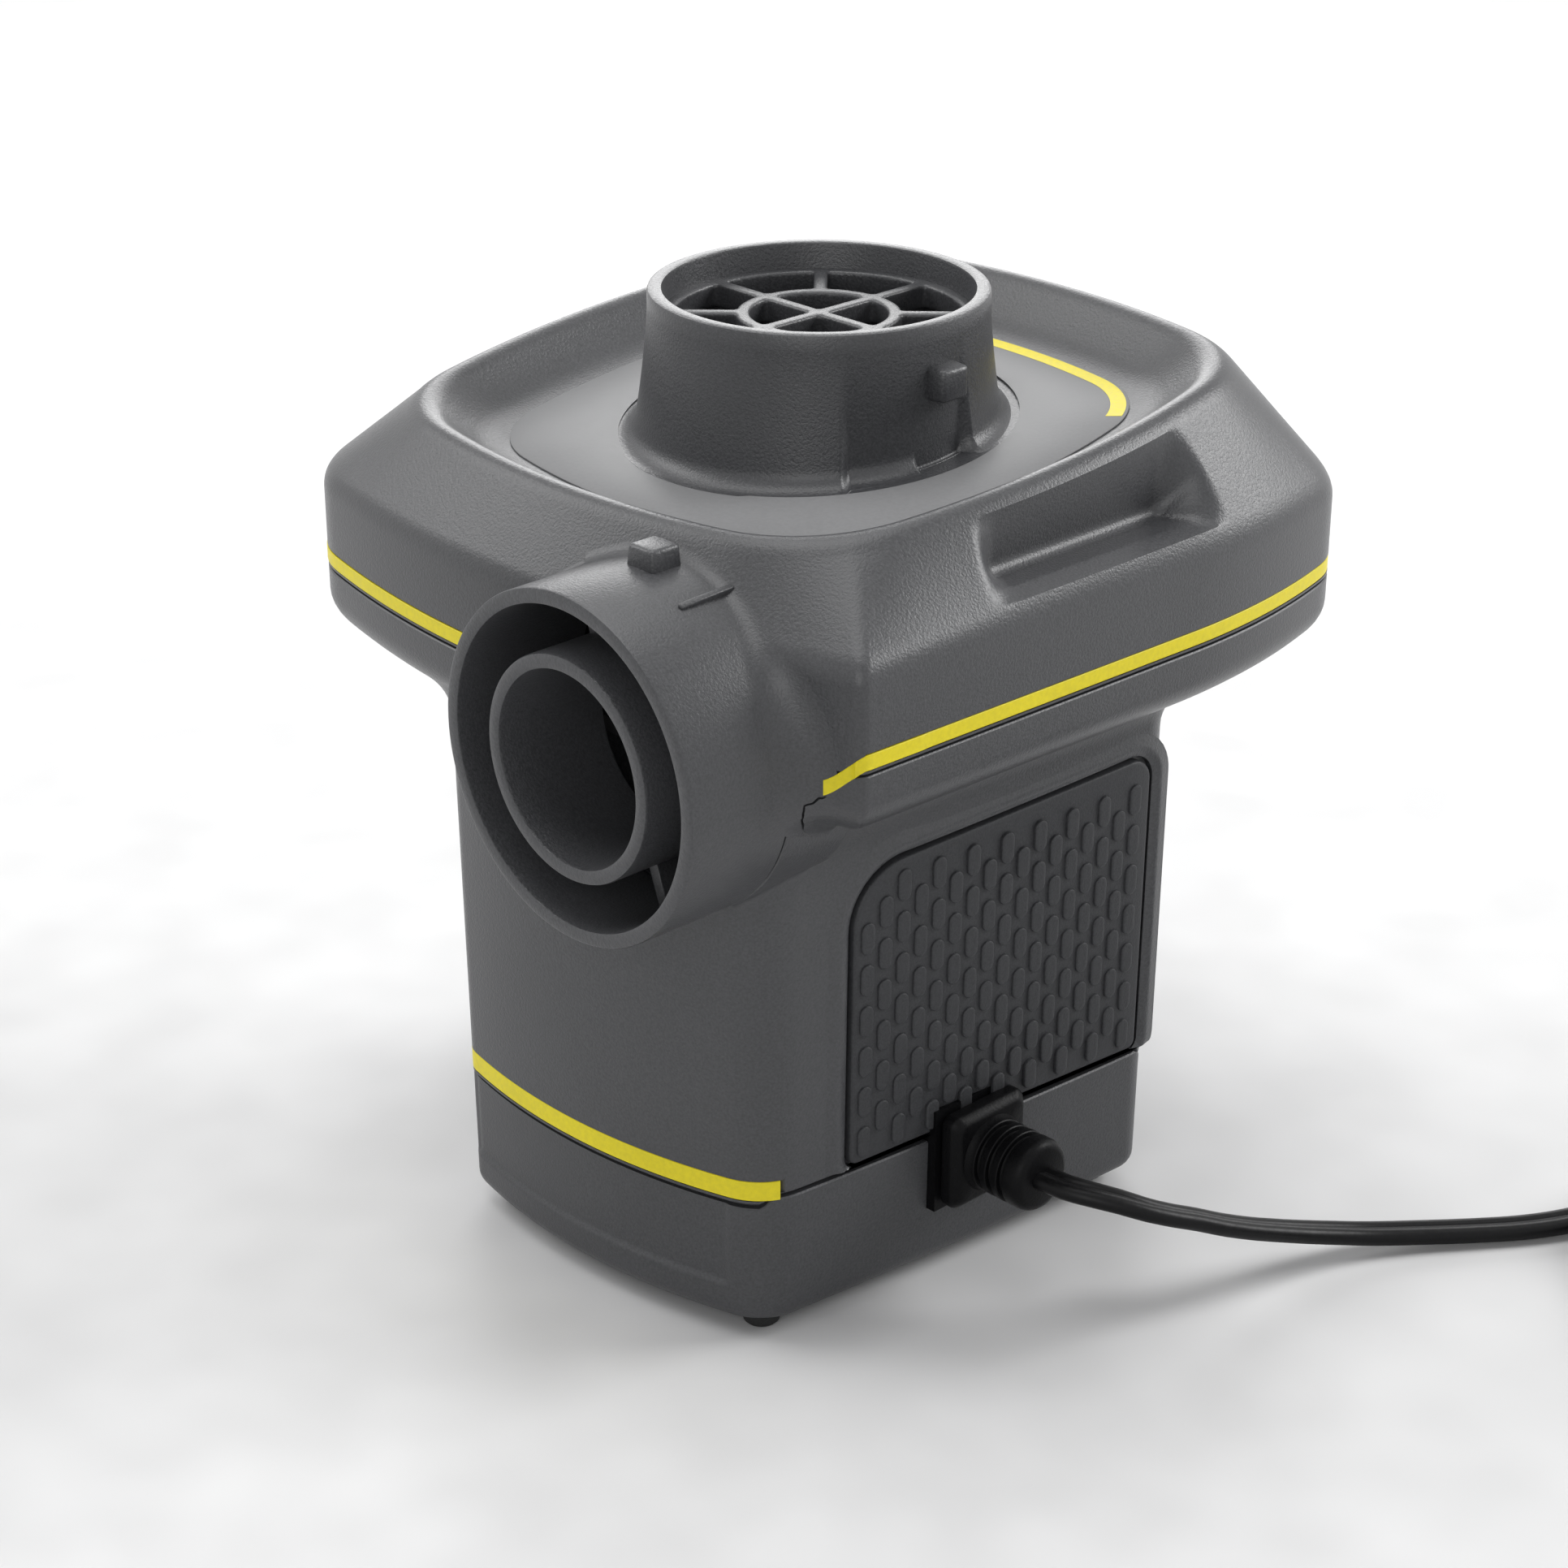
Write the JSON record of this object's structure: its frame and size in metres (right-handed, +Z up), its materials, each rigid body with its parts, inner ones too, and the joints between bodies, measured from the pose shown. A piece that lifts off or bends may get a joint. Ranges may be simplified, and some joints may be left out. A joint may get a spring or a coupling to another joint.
{
  "type": "electric air mattress pump",
  "caption": "Mains air pump for inflatable beds: dished head with a deflate port on top and an inflate port in front, on a grip column with motor, rocker switch and flat cord.",
  "frame": {"origin": "on the ground under the middle of the pump, the cord left out", "axes": "+Z up, the inflate port looks towards -Y, the power inlet towards +X"},
  "size_m": [0.256, 0.201, 0.15],
  "materials": {
    "housing_grey": "fine spark-eroded grain",
    "base_grey": "fine spark-eroded grain",
    "overlay": "satin printed film",
    "stripe_yellow": "satin",
    "grip_rubber": "matte",
    "foot_rubber": "matte",
    "screw_steel": "zinc plated",
    "inner_black": "matte",
    "motor_steel": "zinc plated",
    "ferrite": "matte",
    "nylon": "satin",
    "brush_carbon": "matte",
    "bronze": "sintered",
    "shaft_steel": "ground",
    "core_steel": "laminated",
    "copper": "enamelled wire",
    "impeller_black": "satin",
    "plug_black": "satin",
    "contact_metal": "nickel plated",
    "board": "solder mask",
    "capacitor_sleeve": "shrink sleeve",
    "lead_red": "satin",
    "rocker_black": "gloss",
    "cord_pvc": "satin"
  },
  "bodies": {
    "pump_body": {"top_cover": "housing_grey", "intake_port": "housing_grey", "intake_grille": "housing_grey", "nozzle_seat": "housing_grey", "dish_overlay": "overlay", "main_body": "housing_grey", "base_cover": "base_grey", "head_stripe": "stripe_yellow", "base_stripe": "stripe_yellow", "grip_right": "grip_rubber", "grip_left": "grip_rubber", "feet": "foot_rubber", "case_screws": "screw_steel", "motor_deck": "inner_black", "scroll_wall": "inner_black", "scroll_cover": "inner_black", "motor_can": "motor_steel", "motor_magnets": "ferrite", "motor_cap": "nylon", "brushes": "brush_carbon", "upper_bushing": "bronze", "lower_bushing": "bronze", "motor_screws": "screw_steel", "power_inlet": "plug_black", "inlet_pins": "contact_metal", "circuit_board": "board", "board_posts": "base_grey", "rectifier": "inner_black", "capacitor": "capacitor_sleeve", "choke": "copper", "lead_wires": "lead_red", "switch_housing": "plug_black", "switch_terminals": "contact_metal"},
    "rotor": {"motor_shaft": "shaft_steel", "armature_core": "core_steel", "armature_windings": "copper", "commutator": "copper", "impeller": "impeller_black", "impeller_nut": "screw_steel"},
    "rocker": {"switch_rocker": "rocker_black"},
    "power_cord": {"cord_plug": "plug_black", "cord_lead": "cord_pvc", "cord_coil": "cord_pvc", "mains_plug": "plug_black", "mains_pins": "contact_metal"}
  },
  "joints": [
    {"name": "rotor_spin", "type": "hinge", "parent": "pump_body", "child": "rotor", "pos_m": [0, 0.0055, 0.08], "axis": [0, 0, 1], "continuous": true},
    {"name": "rocker_tilt", "type": "hinge", "parent": "pump_body", "child": "rocker", "pos_m": [0.011, 0.03869, 0.056], "axis": [1, 0, 0], "range_deg": [-16, 0]},
    {"name": "plug_pull", "type": "slide", "parent": "pump_body", "child": "power_cord", "axis": [1, 0, 0], "range_m": [0, 0.01]}
  ]
}
